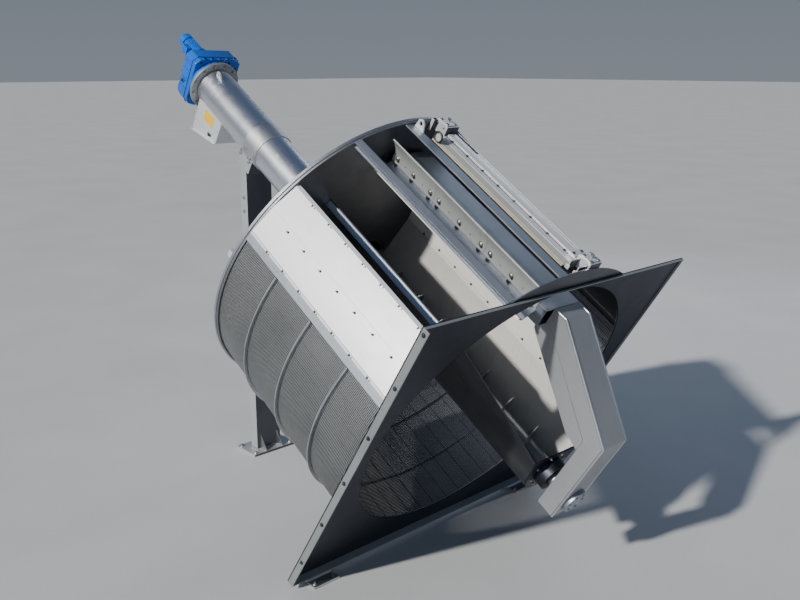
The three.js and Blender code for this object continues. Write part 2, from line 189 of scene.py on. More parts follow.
def steel(name, tone, dull, roughness, grain=(1.4, 90.0, 90.0), grain_bump=0.12, stain=0.5,
          metallic=1.0, shade_side=None, wave=0.06):
    """Stainless sheet: rolling grain, cloudy patches, fine scratches and run marks.

    One side can be given painted shade, a darker and more metallic tone: the faces in or out
    from the drum axis, or the faces turned to +X.
    """
    g = Graph(name)
    cloud = g.noise(2.3, 5.0, 0.6)
    patch = g.noise(9.0, 4.0, 0.6)
    streak = g.noise(3.0, 5.0, 0.65, g.stretched(grain))
    fine = g.noise(420.0, 2.0)
    runs = g.noise(2.2, 5.0, 0.6, g.stretched((9.0, 9.0, 0.9), g.upright))
    run_mask = g.math("MULTIPLY", g.span(runs, 0.55, 0.75), g.span(cloud, 0.4, 0.62))
    scratch = g.span(g.noise(16.0, 3.0, 0.5, g.stretched((0.35, 10.0, 10.0))), 0.70, 0.74)
    base = g.blend(g.span(cloud, 0.3, 0.7), rgb(*tone), rgb(*dull))
    base = g.blend(g.span(streak, 0.3, 0.7, 0.0, 0.35), base, darker(tone, 0.72))
    base = g.blend(g.math("MULTIPLY", run_mask, 0.55 * stain), base, RUN_TONE)
    base = g.blend(g.math("MULTIPLY", scratch, 0.18), base, SCRATCH_TONE)
    rough = g.span(patch, 0.25, 0.75, roughness - 0.02, roughness + 0.03)
    rough = g.math("ADD", rough, g.span(streak, 0.3, 0.7, -0.04, 0.05))
    rough = g.math("ADD", rough, g.math("MULTIPLY", run_mask, 0.16))
    # Painted shade on the faces of one side.
    if shade_side:
        shade_mask = {"out": g.outward, "in": g.inward, "front": g.forward}[shade_side]()
        dark = g.blend(g.span(cloud, 0.3, 0.7), *PAINTED_SHADE_TONES)
        base = g.blend(shade_mask, base, dark)
        metallic = g.span(shade_mask, 0.0, 1.0, metallic, 1.0)
    normal = g.bump(streak, grain_bump, 0.0006)
    normal = g.bump(cloud, wave, 0.010, normal)
    normal = g.bump(fine, 0.05, 0.0003, normal)
    return g.surface(base, rough, metallic, normal)


def paint(name, tone, deep, roughness, coat):
    """Gloss paint with a fine peel and dirt that has run down."""
    g = Graph(name)
    cloud = g.noise(5.0, 5.0, 0.6)
    peel = g.noise(260.0, 2.0)
    dirt = g.noise(14.0, 6.0, 0.7, g.stretched((1.0, 1.0, 0.35), g.upright))
    dirt = g.span(dirt, 0.60, 0.78)
    base = g.blend(g.span(cloud, 0.3, 0.7), rgb(*tone), rgb(*deep))
    base = g.blend(g.math("MULTIPLY", dirt, 0.35), base, DIRT_TONE)
    rough = g.span(cloud, 0.3, 0.7, roughness, roughness + 0.1)
    rough = g.math("ADD", rough, g.math("MULTIPLY", dirt, 0.25))
    normal = g.bump(peel, 0.10, 0.0006)
    normal = g.bump(cloud, 0.08, 0.004, normal)
    return g.surface(base, rough, 0.0, normal, Coat_Weight=coat, Coat_Roughness=0.12)


def plastic(name, tone, deep, roughness, scale=30.0):
    """Plastic, rubber or thick enamel with cloudy colour and grime."""
    g = Graph(name)
    cloud = g.noise(scale, 5.0, 0.65)
    fine = g.noise(500.0, 2.0)
    grime = g.span(g.noise(scale * 0.35, 6.0, 0.7), 0.52, 0.75)
    base = g.blend(g.span(cloud, 0.3, 0.7), rgb(*tone), rgb(*deep))
    base = g.blend(g.math("MULTIPLY", grime, 0.3), base, darker(deep, 0.45))
    rough = g.span(cloud, 0.3, 0.7, roughness - 0.06, roughness + 0.08)
    normal = g.bump(fine, 0.12, 0.0004, g.bump(cloud, 0.1, 0.002))
    return g.surface(base, rough, 0.0, normal)


def floor_material():
    g = Graph("floor")
    broad = g.noise(0.55, 5.0, 0.6, g.upright)
    fine = g.noise(60.0, 4.0, 0.6, g.upright)
    base = g.blend(g.span(broad, 0.3, 0.7), rgb(0.56, 0.575, 0.59), rgb(0.50, 0.515, 0.53))
    base = g.blend(g.span(fine, 0.35, 0.7, 0.0, 0.2), base, rgb(0.42, 0.43, 0.44))
    return g.surface(base, g.span(fine, 0.3, 0.7, 0.7, 0.85), 0.0, g.bump(fine, 0.12, 0.002))


# Each finish has a main tone, a duller one and a roughness.
PALE = (0.82, 0.83, 0.85), (0.72, 0.735, 0.765)
GREY = (0.60, 0.62, 0.64), (0.50, 0.52, 0.55)
EVEN_GRAIN = (60.0, 60.0, 60.0)
PANEL_SHEET = steel("panel_sheet", (0.88, 0.895, 0.94), (0.82, 0.835, 0.88), 0.44, stain=0.3,
                    metallic=0.30, shade_side="in")
# The panels' top faces are drawn whiter than the panel sheet and without metal: painted light.
PANEL_TOP = steel("panel_top_sheet", (0.93, 0.96, 1.0), (0.88, 0.91, 0.96), 0.5, stain=0.2,
                  metallic=0.0)
BRIGHT = steel("sheet_bright", *PALE, 0.44, stain=0.35, metallic=0.55)
PLAIN = steel("sheet_plain", *GREY, 0.40)
# The blue tint is a painted reflection of the sky.
LIP = steel("lip_sheet", (0.72, 0.79, 0.90), (0.62, 0.69, 0.80), 0.38, stain=0.2)
WARM = steel("trough_sheet", (0.62, 0.61, 0.59), (0.53, 0.52, 0.505), 0.50,
             grain=(1.0, 60.0, 60.0), stain=0.8, metallic=0.45, shade_side="out")
BAND = steel("band_sheet", (0.86, 0.84, 0.78), (0.80, 0.78, 0.72), 0.50,
             grain=(1.0, 60.0, 60.0), stain=0.4, metallic=0.25)
LEG = steel("leg_sheet", (0.62, 0.635, 0.65), (0.54, 0.555, 0.575), 0.44, stain=0.4,
            metallic=0.7, shade_side="front")
# The blue tint is a painted reflection of the sky.
RAIL = steel("rail_sheet", (0.46, 0.50, 0.56), (0.38, 0.415, 0.47), 0.50,
             grain=(1.0, 70.0, 70.0))
# Stainless drawn near black for the front plate, the trough's end plate, the lower bearing and
# the basket's rods: painted shade.
DARK = steel("sheet_shaded", (0.060, 0.066, 0.085), (0.040, 0.044, 0.060), 0.46, stain=0.25)
FOLD = steel("fold_sheet", (0.40, 0.43, 0.44), (0.32, 0.345, 0.36), 0.48,
             grain=(70.0, 2.0, 2.0), metallic=0.7)
# The end plate's steel is drawn darker than the plain sheet: painted shade.
END = steel("end_sheet", (0.30, 0.31, 0.33), (0.22, 0.23, 0.25), 0.46, grain=(30.0, 2.0, 2.0),
            stain=0.9, shade_side="front")
RING = steel("ring_sheet", *GREY, 0.40, shade_side="front")
BRACKET = steel("bracket_sheet", *PALE, 0.44, stain=0.35, metallic=0.55, shade_side="front")
TUBE = steel("tube_brushed", (0.88, 0.90, 0.95), (0.81, 0.83, 0.885), 0.33,
             grain=(1.0, 130.0, 130.0), grain_bump=0.10, stain=0.1, wave=0.004)
MATT = steel("sleeve_matt", (0.72, 0.73, 0.75), (0.64, 0.65, 0.68), 0.42,
             grain=(60.0, 3.0, 3.0), stain=0.3)
# The blue tint is a painted reflection of the sky.
RAKE = steel("rake_steel", (0.42, 0.46, 0.53), (0.33, 0.36, 0.42), 0.46,
             grain=(1.2, 70.0, 70.0), stain=0.5)
ARM = steel("arm_steel", (0.42, 0.44, 0.465), (0.35, 0.365, 0.39), 0.48,
            grain=(1.6, 60.0, 60.0), stain=0.4, metallic=0.65)
SEGMENT = steel("segment_steel", (0.56, 0.58, 0.56), (0.46, 0.48, 0.46), 0.46,
                grain=(1.2, 70.0, 70.0), stain=0.6, metallic=0.6)
# Lighter, glossier steel for the rake arm's round edges: painted highlight.
EDGE_HIGHLIGHT = steel("edge_highlight_steel", (0.78, 0.79, 0.81), (0.66, 0.67, 0.70), 0.30,
             grain=(1.2, 70.0, 70.0), stain=0.3)
BARS = steel("screen_bars", (0.38, 0.39, 0.40), (0.29, 0.30, 0.31), 0.48,
             grain=(40.0, 6.0, 6.0), stain=0.7, metallic=0.7, shade_side="in")
# The blue tint is a painted reflection of the sky.
STRIP_SHEET = steel("strip_sheet", (0.46, 0.495, 0.54), (0.38, 0.41, 0.45), 0.46,
                    grain=(1.0, 70.0, 70.0), shade_side="in")
COMB_BACK = steel("comb_back_sheet", (0.50, 0.505, 0.485), (0.42, 0.425, 0.41), 0.5,
                  grain=(1.0, 60.0, 60.0), stain=0.5, metallic=0.25)
BOLT = steel("bolt_steel", (0.50, 0.50, 0.50), (0.36, 0.36, 0.36), 0.36, grain=EVEN_GRAIN)
# Near-black steel for bolts and small marks: partly their own dark tone, partly painted shade.
SHADOW = steel("bolt_dark", (0.12, 0.12, 0.125), (0.07, 0.07, 0.075), 0.50, grain=EVEN_GRAIN)
WELD = steel("weld", (0.36, 0.355, 0.345), (0.24, 0.235, 0.23), 0.50,
             grain=(300.0, 20.0, 20.0), grain_bump=0.6)
SCREW = steel("screw_steel", (0.36, 0.37, 0.38), (0.27, 0.28, 0.29), 0.42,
              grain=(30.0, 30.0, 2.0), stain=1.0)
BLUE = paint("blue_paint", (0.001, 0.135, 0.62), (0.001, 0.10, 0.50), 0.36, 0.15)
CREAM = plastic("comb_plastic", (0.80, 0.74, 0.56), (0.68, 0.61, 0.44), 0.55)
CAP = plastic("cap_plastic", (0.86, 0.76, 0.22), (0.78, 0.66, 0.16), 0.42)
YELLOW = plastic("plate_yellow", (0.84, 0.52, 0.006), (0.76, 0.45, 0.005), 0.46, 60.0)
BLACK = plastic("black_rubber", (0.022, 0.022, 0.024), (0.014, 0.014, 0.016), 0.6)


# Solids

# Radii and heights of a bolt's end, as shares of the nut's width over its flats.
WASHER_R, WASHER_H = 0.78, 0.11
NUT_R, NUT_H = 0.577, 0.30
TURNED_R, TURNED_H = 0.47, 0.07
STUD_R, STUD_H = 0.25, 0.22
BEAD_SIDES = 6
CORNER = math.radians(40)


def at(s, y, w):
    return Vector((s, y, w))


def round_points(count, first=0.0):
    """Cosine and sine of evenly spaced angles, from the first one in degrees."""
    for k in range(count):
        a = math.radians(first + 360 / count * k)
        yield math.cos(a), math.sin(a)


class Pile:
    """Collects small solids of one finish on one body into one mesh."""

    def __init__(self, name, material, body, slot):
        self.name, self.material, self.body, self.slot = name, material, body, slot
        self.mesh = bmesh.new()

    def loft(self, rings):
        """Closed rings of vertices joined in a row, with a face at each end."""
        self.mesh.faces.new(rings[0][::-1])
        self.mesh.faces.new(rings[-1])
        count = len(rings[0])
        for a, b in zip(rings, rings[1:]):
            for i in range(count):
                j = (i + 1) % count
                self.mesh.faces.new((a[i], a[j], b[j], b[i]))

    def prism(self, outline, rise):
        """A closed prism over a flat outline of points."""
        bottom = [self.mesh.verts.new(p) for p in outline]
        top = [self.mesh.verts.new(p + rise) for p in outline]
        self.loft([bottom, top])

    def along_s(self, outline, s0, s1):
        self.prism([Vector((s0, y, w)) for y, w in outline], S * (s1 - s0))

    def along_y(self, outline, y0, y1):
        self.prism([Vector((s, y0, w)) for s, w in outline], Y * (y1 - y0))

    def box(self, s0, s1, y0, y1, w0, w1):
        self.along_s([(y0, w0), (y1, w0), (y1, w1), (y0, w1)], s0, s1)

    def rod(self, start, axis, radius, length, sides=24, tip=None, turn=0.0):
        """A cylinder, or a cone where tip is given."""
        axis = axis.normalized()
        u = axis.orthogonal().normalized()
        v = axis.cross(u)
        rings = []
        for r, h in ((radius, 0.0), (radius if tip is None else tip, length)):
            ring = []
            for i in range(sides):
                a = 2 * math.pi * i / sides + turn
                p = start + axis * h + (u * math.cos(a) + v * math.sin(a)) * r
                ring.append(self.mesh.verts.new(p))
            rings.append(ring)
        self.loft(rings)

    def bolt(self, spot, normal, flats, stud=True):
        """A washer, a hexagon nut with a turned top and the end of its stud."""
        n = normal.normalized()
        turn = (spot.x * 0.37 + spot.y * 0.11 + spot.z * 0.23) % 1.0
        self.rod(spot, n, flats * WASHER_R, flats * WASHER_H, 20)
        height = WASHER_H
        self.rod(spot + n * flats * height, n, flats * NUT_R, flats * NUT_H, 6, turn=turn)
        height += NUT_H
        self.rod(spot + n * flats * height, n, flats * NUT_R, flats * TURNED_H, 6,
                 flats * TURNED_R, turn)
        if stud:
            height += TURNED_H
            self.rod(spot + n * flats * height, n, flats * STUD_R, flats * STUD_H, 12)

    def bolt_circle(self, middle, radius, count, first, normal, flats, stud=True):
        for c, d in round_points(count, first):
            self.bolt(middle + at(0, radius * c, radius * d), normal, flats, stud)

    def rivet(self, spot, normal, radius):
        n = normal.normalized()
        self.rod(spot, n, radius, radius * 0.3, 14)
        self.rod(spot + n * radius * 0.3, n, radius, radius * 0.25, 14, radius * 0.6)

    def bead(self, path, radius):
        """A weld bead with scales along a run of points."""
        rings = []
        for i, p in enumerate(path):
            axis = (path[min(i + 1, len(path) - 1)] - path[max(i - 1, 0)]).normalized()
            u = axis.orthogonal().normalized()
            v = axis.cross(u)
            r = radius * (1.0 + 0.16 * math.sin(i * 2.1))
            ring = [self.mesh.verts.new(p + (u * c + v * d) * r)
                    for c, d in round_points(BEAD_SIDES)]
            rings.append(ring)
        self.loft(rings)

    def line(self, a, b, radius, step=9.0):
        count = max(2, int((b - a).length / step))
        self.bead([a.lerp(b, i / count) for i in range(count + 1)], radius)

    def circle(self, s, radius, bead, step):
        count = int(2 * math.pi * radius / step)
        path = []
        for i in range(count + 1):
            a = math.radians(360.0 * i / count)
            path.append(at(s, radius * math.cos(a), radius * math.sin(a)))
        self.bead(path, bead)

    def done(self, bevel=0.0):
        mesh = bpy.data.meshes.new(self.name)
        bmesh.ops.recalc_face_normals(self.mesh, faces=self.mesh.faces)
        self.mesh.to_mesh(mesh)
        self.mesh.free()
        mesh.transform(DRUM @ MM)
        obj = bpy.data.objects.new(self.name, mesh)
        bpy.context.scene.collection.objects.link(obj)
        finish_mesh(obj, self.material, CORNER)
        if bevel:
            round_edges(obj, bevel)
        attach(obj, self.body)
        return obj


def finish_mesh(obj, material, sharp_angle):
    obj.data.materials.clear()
    obj.data.materials.append(material)
    obj.data.polygons.foreach_set("use_smooth", [True] * len(obj.data.polygons))
    obj.data.set_sharp_from_angle(angle=sharp_angle)


def round_edges(obj, width):
    bevel = obj.modifiers.new("edges", "BEVEL")
    bevel.width = width
    bevel.segments = 2
    bevel.limit_method = "ANGLE"
    bevel.angle_limit = CORNER
    bevel.harden_normals = True


# Finishes of the CAD pieces

FINISH = {
    PANEL_SHEET: ["side_panel_near", "side_panel_far"],
    BRIGHT: ["comb_plate", "comb_flange", "cross_bar", "lifting_eye", "chute", "tube_lug"],
    BRACKET: ["comb_bracket_upper", "comb_bracket_lower"],
    RING: ["front_ring"],
    STRIP_SHEET: ["side_strip_near", "side_strip_far"],
    LIP: ["trough_lip"],
    PLAIN: ["end_rim", "tube_collar", "basket_hoop_1", "basket_hoop_2", "basket_hoop_3",
            "foot_near", "foot_far", "comb_shaft"],
    LEG: ["leg_saddle", "tube_leg"],
    RAIL: ["rim_rail", "top_beam"],
    WARM: ["trough"],
    DARK: ["front_plate", "trough_end_plate", "lower_bearing"],
    FOLD: ["front_flange", "tube_flange"],
    END: ["end_plate"],
    TUBE: ["tube_lower", "tube_upper"],
    MATT: ["tube_sleeve"],
    RAKE: ["rake_bar", "rake_side_angle", "hub_cap"],
    ARM: ["rake_arm", "rake_web_near", "rake_web_far"],
    SEGMENT: ["rake_segment_1", "rake_segment_2", "rake_segment_3"],
    BARS: ["basket"],
    SCREW: ["screw_shaft", "screw_flight_1", "screw_flight_2", "screw_flight_3",
            "screw_flight_upper"],
    BLUE: ["gearbox", "motor", "motor_flange", "drive_flange"],
    CREAM: ["comb_strip"],
    CAP: ["shaft_cap"],
}
SOFT_EDGES = {"gearbox": 0.012, "motor_flange": 0.003, "drive_flange": 0.004,
              "shaft_cap": 0.010, "rake_arm": 0.003, "lifting_eye": 0.002, "trough_lip": 0.003}
SHEET_EDGE = 0.0012
WELD_GAP = 0.00002
FLAT_ANGLE = math.radians(0.4)
NO_SHARP = math.radians(180)


def finish_cad(name, material):
    """Joins a CAD piece's split triangles, rounds its edges and gives it a material."""
    piece = nodes[name]
    finish_mesh(piece, material, NO_SHARP)
    for spare in ("custom_normal", "sharp_edge", "sharp_face"):
        if spare in piece.data.attributes:
            piece.data.attributes.remove(piece.data.attributes[spare])
    weld = piece.modifiers.new("weld", "WELD")
    weld.merge_threshold = WELD_GAP
    if not name.startswith("screw"):
        flat = piece.modifiers.new("flat faces", "DECIMATE")
        flat.decimate_type = "DISSOLVE"
        flat.angle_limit = FLAT_ANGLE
    round_edges(piece, SOFT_EDGES.get(name, SHEET_EDGE))


for sheet, names in FINISH.items():
    for name in names:
        finish_cad(name, sheet)


# Basket of screen bars

BASKET_S = (-1630.0, -12.0)
BASKET_ARC = (162.2, 377.8)
ARC_STEPS = 44
BAR_PITCH = 12.0
FIRST_BAR = 4
BAR_SECTION = ((1264.0, -3.4), (1264.0, 3.4), (1275.7, 2.9), (1275.7, -2.9))
RODS = 37
ROD_RING = 1270.0
ROD_IN = 1.3
RAIL_CORNER = ((1205, 387.2), (1211, 389.2), (1231, 403.5), (1226.6, 406.4))


def basket():
    """Fine bars round the drum with open slots between them, threaded on rods along the drum."""
    first, last = BASKET_S
    a0, a1 = BASKET_ARC
    bars = Pile("basket_bars", BARS, "frame", "screen_bars")
    for k in range(int((last - first) / BAR_PITCH)):
        s = first + FIRST_BAR + k * BAR_PITCH
        rings = []
        for i in range(ARC_STEPS + 1):
            a = math.radians(a0 + (a1 - a0) * i / ARC_STEPS)
            c, d = math.cos(a), math.sin(a)
            rings.append([bars.mesh.verts.new((s + ds, r * c, r * d)) for r, ds in BAR_SECTION])
        bars.loft(rings)
    bars_obj = bars.done()
    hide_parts("basket")
    # The rods are drawn near black: painted shade.
    rods = Pile("basket_rods", DARK, "frame", "screen_bars")
    for k in range(RODS):
        a = math.radians(a0 + ROD_IN + k * (a1 - a0 - 2 * ROD_IN) / (RODS - 1))
        start = at(first, ROD_RING * math.cos(a), ROD_RING * math.sin(a))
        rods.rod(start, S, radius=3.0, length=last - first, sides=8)
    rods.done()
    rails = Pile("basket_rails", STRIP_SHEET, "frame", "sheet")
    for side in SIDES:
        rails.along_s([(side * y, w) for y, w in RAIL_CORNER], first, last)
    rails.done()


basket()


# Side panels

# The outer faces of a panel and of the strip below it, from their upper to their lower edge, as
# (y, w) on the near side.
UPPER_FACE = ((-966.0, 826.0), (-1100.0, 664.0))
LOWER_FACE = ((-1100.0, 664.0), (-1208.0, 476.0))
STRIP_FACE = ((-1208.6, 475.4), (-1236.0, 407.0))
# Thin strips on these faces: start and end below the upper edge, and thickness.
TOP_LAP = (0.5, 22, 2.0)
# A near-black line along the panel face's top edge: painted shadow.
TOP_SHADOW_LINE = (0.4, 2.8, 2.3)
CREASE_LAP = (0.5, 5, 1.2)
STRIP_TOP_LAP = (0.5, 17, 1.6)
STRIP_LOW_LAP = (46, 72, 1.6)
LAP_S = (-1628, -14)
PANEL_BOLTS = 8
PANEL_BOLT_S = -1421.0
PANEL_BOLT_PITCH = 196.0


def on_face(face, down, side):
    """The y and w of a point on a face, and the outward normal. The far side is mirrored."""
    (y0, w0), (y1, w1) = face
    size = math.hypot(y1 - y0, w1 - w0)
    dy, dw = (y1 - y0) / size, (w1 - w0) / size
    flip = 1.0 if side < 0 else -1.0
    return (y0 + dy * down) * flip, w0 + dw * down, Vector((0, dw * flip, -dy))


def spot_on(face, s, down, lift, side):
    """A point lifted off a face, and the face's normal."""
    y, w, n = on_face(face, down, side)
    return at(s, y, w) + n * lift, n


def skin(pile, face, strip, side):
    """A thin strip laid on a face along the drum."""
    t0, t1, rise = strip
    y0, w0, n = on_face(face, t0, side)
    y1, w1, _ = on_face(face, t1, side)
    y2, w2 = y1 + n.y * rise, w1 + n.z * rise
    y3, w3 = y0 + n.y * rise, w0 + n.z * rise
    pile.along_s([(y0, w0), (y1, w1), (y2, w2), (y3, w3)], *LAP_S)


def side_panels():
    """Laps, a painted shadow line along the top, and bolts of the two side panels and their
    strips.
    """
    laps = Pile("panel_laps", PANEL_SHEET, "frame", "sheet")
    bolts = Pile("panel_bolts", SHADOW, "frame", "sheet")
    strip_laps = Pile("strip_laps", STRIP_SHEET, "frame", "sheet")
    tops = Pile("panel_tops", PANEL_TOP, "frame", "sheet")
    for side in SIDES:
        skin(laps, UPPER_FACE, TOP_LAP, side)
        skin(bolts, UPPER_FACE, TOP_SHADOW_LINE, side)
        skin(laps, LOWER_FACE, CREASE_LAP, side)
        skin(laps, STRIP_FACE, STRIP_TOP_LAP, side)
        skin(strip_laps, STRIP_FACE, STRIP_LOW_LAP, side)
        # Top faces drawn whiter than the panel: painted light.
        y0, y1 = sorted((side * 965.5, side * 934.5))
        tops.box(*LAP_S, y0, y1, 825.9, 827.0)
        for k in range(PANEL_BOLTS):
            s = PANEL_BOLT_S + PANEL_BOLT_PITCH * k
            bolts.bolt(*spot_on(UPPER_FACE, s, 10, 2.2, side), flats=10)
            bolts.rivet(*spot_on(UPPER_FACE, s + 27, 9, 2.2, side), radius=5)
            stud, n = spot_on(LOWER_FACE, s + 23, 32, 0.2, side)
            bolts.rod(stud, n, radius=9, length=2.0, sides=16)
            bolts.rod(stud, n, radius=5, length=20, sides=12)
            bolts.bolt(*spot_on(STRIP_FACE, s, 12, 1.8, side), flats=12)
            bolts.rivet(*spot_on(STRIP_FACE, s + 24, 12, 1.8, side), radius=5)
    laps.done(0.0006)
    bolts.done()
    strip_laps.done(0.0005)
    tops.done(0.0004)


side_panels()


# Trough

TROUGH_S = (-1630, 270)
TROUGH_RIVETS = 9
TROUGH_RIVET_S = -1426
TROUGH_RIVET_PITCH = 198
WALL_NORMAL = at(0, -1, 0.04)
WALL_FACING = [(294.9, 371.5), (311.3, 818), (310.0, 818), (293.6, 371.5)]
CREASE_FACING = [(288.5, 349.9), (294.8, 370.8), (292.6, 371.6), (286.3, 350.7)]
BEARING_FACE = at(572.3, 0, 0)


def trough():
    """Rivets and facings of the trough's high wall, and the bolts of the lower bearing."""
    rivets = Pile("trough_bolts", SHADOW, "frame", "dark_steel")
    for k in range(TROUGH_RIVETS):
        s = TROUGH_RIVET_S + TROUGH_RIVET_PITCH * k
        rivets.rivet(at(s, 293.6, 378), WALL_NORMAL, radius=10)
    rivets.done()
    band = Pile("trough_band", BAND, "frame", "sheet")
    band.along_s(WALL_FACING, *TROUGH_S)
    band.done(0.0004)
    trim = Pile("trough_trim", WARM, "frame", "sheet")
    trim.along_s(CREASE_FACING, *TROUGH_S)
    trim.done(0.0005)
    bolts = Pile("bearing_bolts", BOLT, "frame", "dark_steel")
    bolts.bolt_circle(BEARING_FACE, 145, 8, 22.5, S, flats=18)
    bolts.done()


trough()


# Front plate

FLANGE_BOLT_W = (1128, 700, 260, -180, -620, -1060)
FLANGE_FACE = -1320.2
FLANGE_BOLT_S = 34
FOLD_S = 9.5
FOLD_Y = 1312
TOP_FOLD_W = 1157
SIDE_FOLD_W = (1150, -1315)


def front_plate():
    """Bolts of the near flange and weld beads in the folds of the front plate."""
    bolts = Pile("plate_bolts", SHADOW, "frame", "dark_steel")
    for w in FLANGE_BOLT_W:
        bolts.bolt(at(FLANGE_BOLT_S, FLANGE_FACE, w), -Y, flats=19)
    bolts.done()
    welds = Pile("corner_welds", WELD, "frame", "sheet")
    for side in SIDES:
        upper, lower = [at(FOLD_S, side * FOLD_Y, w) for w in SIDE_FOLD_W]
        welds.line(upper, lower, 3.0, step=16)
    near, far = [at(FOLD_S, side * FOLD_Y, TOP_FOLD_W) for side in SIDES]
    welds.line(near, far, 3.0, step=16)
    welds.done()


front_plate()


# Rake

SEAMS = (-1590.0, -1110.0, -556.0, -24.0)
SEGMENT_FACE = -227.2
NUT_W = (1000, 1014)
LIP_SECTION = [(-352.4, 930), (-352.4, 943.8), (-348.2, 952.4), (-351.4, 955), (-356, 944),
               (-356, 930)]
ARM_HALF = 125
ARM_BACK_S = 44.4
ARM_EDGE = [(50, 1041), (148, 1041), (829, 562), (829, -138)]
HUB_FACE = at(865.0, 0, 0)


def rake():
    """Bolts of the segments and the hub, the bar's lip, and the arm's welds and round edges, the
    lip and edges with painted highlight.
    """
    bolts = Pile("rake_bolts", BOLT, "rotor", "rake_steel")
    studs = Pile("rake_studs", SHADOW, "rotor", "dark_steel")
    for start, end in zip(SEAMS, SEAMS[1:]):
        for s in (start + 52, (start + end) / 2, end - 46):
            bolts.bolt(at(s, SEGMENT_FACE, 1052), -Y, flats=25)
            studs.rod(at(s + 13, SEGMENT_FACE, 1041), -Y, radius=11, length=4, sides=14)
            # Near-black tabs for the nuts at the segments' lower edge: painted shade.
            studs.box(s - 10, s + 12, -237, SEGMENT_FACE - 0.1, *NUT_W)
        for share in (0.3, 0.72):
            s = start + (end - start) * share
            studs.rivet(at(s, SEGMENT_FACE, 1046), -Y, radius=4.5)
    bolts.done()
    studs.done()
    # The lip is drawn in a light cream sheet: painted highlight.
    lip = Pile("rake_lip", BAND, "rotor", "rake_steel")
    lip.along_s(LIP_SECTION, -1590, -20)
    lip.done(0.0008)
    welds = Pile("rake_welds", WELD, "rotor", "rake_steel")
    # The round edges are drawn lighter than the arm: painted highlight.
    edges = Pile("rake_edges", EDGE_HIGHLIGHT, "rotor", "rake_steel")
    for side in SIDES:
        y = side * ARM_HALF
        outer = side * (ARM_HALF + 0.3)
        welds.line(at(94, outer, 911.6), at(692, outer, 492), 1.6)
        welds.line(at(ARM_BACK_S, y, 915), at(ARM_BACK_S, y, 1043), 3.0)
        for (s0, w0), (s1, w1) in zip(ARM_EDGE, ARM_EDGE[1:]):
            start = at(s0, side * (ARM_HALF - 6), w0)
            run = at(s1, side * (ARM_HALF - 6), w1) - start
            edges.rod(start, run, radius=8.5, length=run.length, sides=16)
    welds.line(at(ARM_BACK_S, -ARM_HALF, 1045.2), at(ARM_BACK_S, ARM_HALF, 1045.2), 3.0)
    welds.done()
    edges.done()
    hub_bolts = Pile("hub_bolts", BOLT, "rotor", "rake_steel")
    hub_bolts.bolt_circle(HUB_FACE, 68, 6, 0, S, flats=17, stud=False)
    hub_bolts.done()


rake()


# Comb

COMB_S = (-1492, -128)
TEETH_S = (-1494, -126)
TEETH = 114
TOOTH_S = -1492.5
TOOTH_PITCH = 12
TOOTH_WIDTH = 8
TOOTH = [(-30, 1246), (-28, 1236), (30, 1235), (30, 1248.6)]
TOOTH_ROOT = [(2, 1238.4), (30, 1235), (78, 1249), (78, 1257), (34, 1249), (2, 1247.2)]
BACK_STRIP = [(-8, 1247.4), (30, 1249.2), (50, 1252.6), (50, 1255), (30, 1251.6), (-8, 1249.8)]
COVER_EDGE = [(50, 1252.4), (78, 1257.4), (78, 1260.4), (50, 1256.4)]
COVER_BOX = [(112, 1257.3), (190, 1257.3), (190, 1270), (186, 1272), (116, 1272), (112, 1270)]
COVER_SIDE = [(192, 1257.3), (213.6, 1257.3), (213.6, 1272), (192, 1272)]
PLATE_TOP = 1257.3
COVER_TOP = 1272.2
CLAMP_TOP = 1290


def comb():
    """Toothed strip with its back, the raised cover along the plate and its row of bolts."""
    teeth = Pile("comb_teeth", CREAM, "comb", "comb_plastic")
    teeth.along_s(TOOTH_ROOT, *TEETH_S)
    for k in range(TEETH):
        s = TOOTH_S + TOOTH_PITCH * k
        teeth.along_s(TOOTH, s, s + TOOTH_WIDTH)
    obj = teeth.done()
    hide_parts("comb_strip")
    back = Pile("comb_back", COMB_BACK, "comb", "sheet")
    back.along_s(BACK_STRIP, *COMB_S)
    back.done(0.0006)
    cover = Pile("comb_cover", BRIGHT, "comb", "sheet")
    cover.along_s(COVER_EDGE, *COMB_S)
    cover.along_s(COVER_BOX, -1488, -132)
    cover.along_s(COVER_SIDE, -1244, -132)
    cover.box(-190, -134, 84, 206, COVER_TOP, CLAMP_TOP)
    cover.done(0.001)
    bolts = Pile("comb_bolts", SHADOW, "comb", "dark_steel")
    for k in range(8):
        bolts.bolt(at(-1420 + 170 * k, 102, PLATE_TOP - 0.1), W, flats=14)
    bolts.box(-1488, -192, 97, 107, PLATE_TOP, 1258.6)
    for y in (104, 186):
        bolts.bolt(at(-162, y, CLAMP_TOP + 0.2), W, flats=15)
    # The far side of the cover's upper part is drawn near black: painted shade.
    bolts.box(-1468, -1246, 192, 213.6, PLATE_TOP, 1272)
    bolts.done()


UPPER_BRACKET_S = (-1631, -1500)
LOWER_BRACKET_S = (-120, -11)
BRACKET_FACE = 89.7
BRACKET_TOP = 1320.3
LID_TOP = 1325


